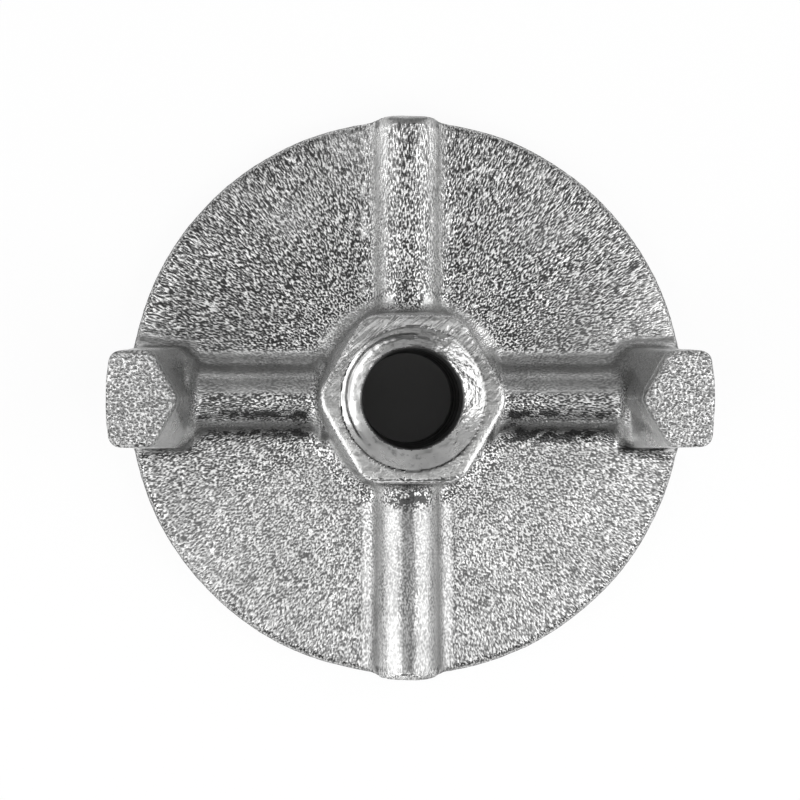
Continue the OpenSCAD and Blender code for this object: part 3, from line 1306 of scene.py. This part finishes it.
@dataclass
class SoftLight:
    """A soft panel lamp that faces the nut.

    Args:
        name: Name of the lamp.
        place: Where it stands, in metres.
        size: Width and height in metres.
        glow: Radiance of its face.
    """

    name: str
    place: Point
    size: Pair
    glow: float

    def build(self, target: Vector) -> Object:
        """Build the lamp.

        Args:
            target: The point that the lamp faces.

        Returns:
            The lamp's object.
        """
        data = bpy.data.lights.new(self.name, "AREA")
        data.shape = "RECTANGLE"
        data.size, data.size_y = self.size
        data.energy = self.glow * math.pi * self.size[0] * self.size[1]
        lamp = bpy.data.objects.new(self.name, data)
        lamp.location = self.place
        lamp.rotation_euler = (target - Vector(self.place)).to_track_quat("-Z", "Y").to_euler()
        lamp.visible_camera = False
        bpy.context.scene.collection.objects.link(lamp)
        return lamp


@dataclass
class Studio:
    """Pale floor, even surroundings, soft lamps and the camera.

    Args:
        floor_half: Half of the floor's width in metres.
        floor_drop: Gap between the floor and the bearing face in metres.
        floor_paint: The floor's paint.
        surroundings: The room round the nut.
        lamps: The soft lamps.
        lit: The point that the lamps face.
        eye: Where the camera stands, in metres.
        aim: The point at the middle of its view.
        lens: Focal length in millimetres on a 36 mm sensor.
    """

    floor_half: float = 3.0
    floor_drop: float = 0.00005
    floor_paint: FloorPaint = field(default_factory=FloorPaint)
    surroundings: Surroundings = field(default_factory=Surroundings)
    lamps: tuple[SoftLight, ...] = (
        SoftLight("lamp_minus_x", (-0.52, -0.18, 0.35), (0.80, 0.72), 1.9),
        SoftLight("lamp_plus_x", (0.54, -0.12, 0.35), (0.80, 0.72), 2.2),
        SoftLight("lamp_above", (0.0, -0.34, 0.86), (0.75, 0.32), 0.75),
    )
    lit: Point = (0.0, 0.0, 0.015)
    eye: Point = (-0.0088, 0.0016, 0.356)
    aim: Point = (-0.0012, -0.0004, 0.0045)
    lens: float = 87.5

    def build(self) -> None:
        """Build everything round the nut."""
        self._floor()
        bpy.context.scene.world = self.surroundings.world()
        for lamp in self.lamps:
            lamp.build(Vector(self.lit))
            LOG.info("lamp: %s", lamp.name)
        self._camera()
        bpy.context.scene.view_settings.view_transform = "Standard"

    def _floor(self) -> Object:
        """Build the pale floor.

        Returns:
            The floor's object.
        """
        shape = bmesh.new()
        bmesh.ops.create_grid(shape, x_segments=8, y_segments=8, size=self.floor_half)
        mesh = bpy.data.meshes.new("floor")
        shape.to_mesh(mesh)
        shape.free()
        mesh.materials.append(self.floor_paint.material())
        floor = bpy.data.objects.new("floor", mesh)
        floor.location.z = -self.floor_drop
        bpy.context.scene.collection.objects.link(floor)
        return floor

    def _camera(self) -> None:
        """Build the camera above the nut."""
        data = bpy.data.cameras.new("camera")
        data.lens = self.lens
        data.sensor_width = 36.0
        data.clip_start = 0.01
        camera = bpy.data.objects.new("camera", data)
        ahead = (Vector(self.aim) - Vector(self.eye)).normalized()
        right = ahead.cross(Vector((0.0, 1.0, 0.0))).normalized()
        turn = Matrix((right, right.cross(ahead), -ahead)).transposed()
        camera.matrix_world = Matrix.Translation(self.eye) @ turn.to_4x4()
        bpy.context.scene.collection.objects.link(camera)
        bpy.context.scene.camera = camera


def main() -> None:
    """Build the casting and the studio."""
    logging.basicConfig(level=logging.INFO)
    bpy.context.view_layer.update()
    Casting().build()
    Studio().build()
    bpy.context.view_layer.update()


if __name__ == "__main__":
    main()
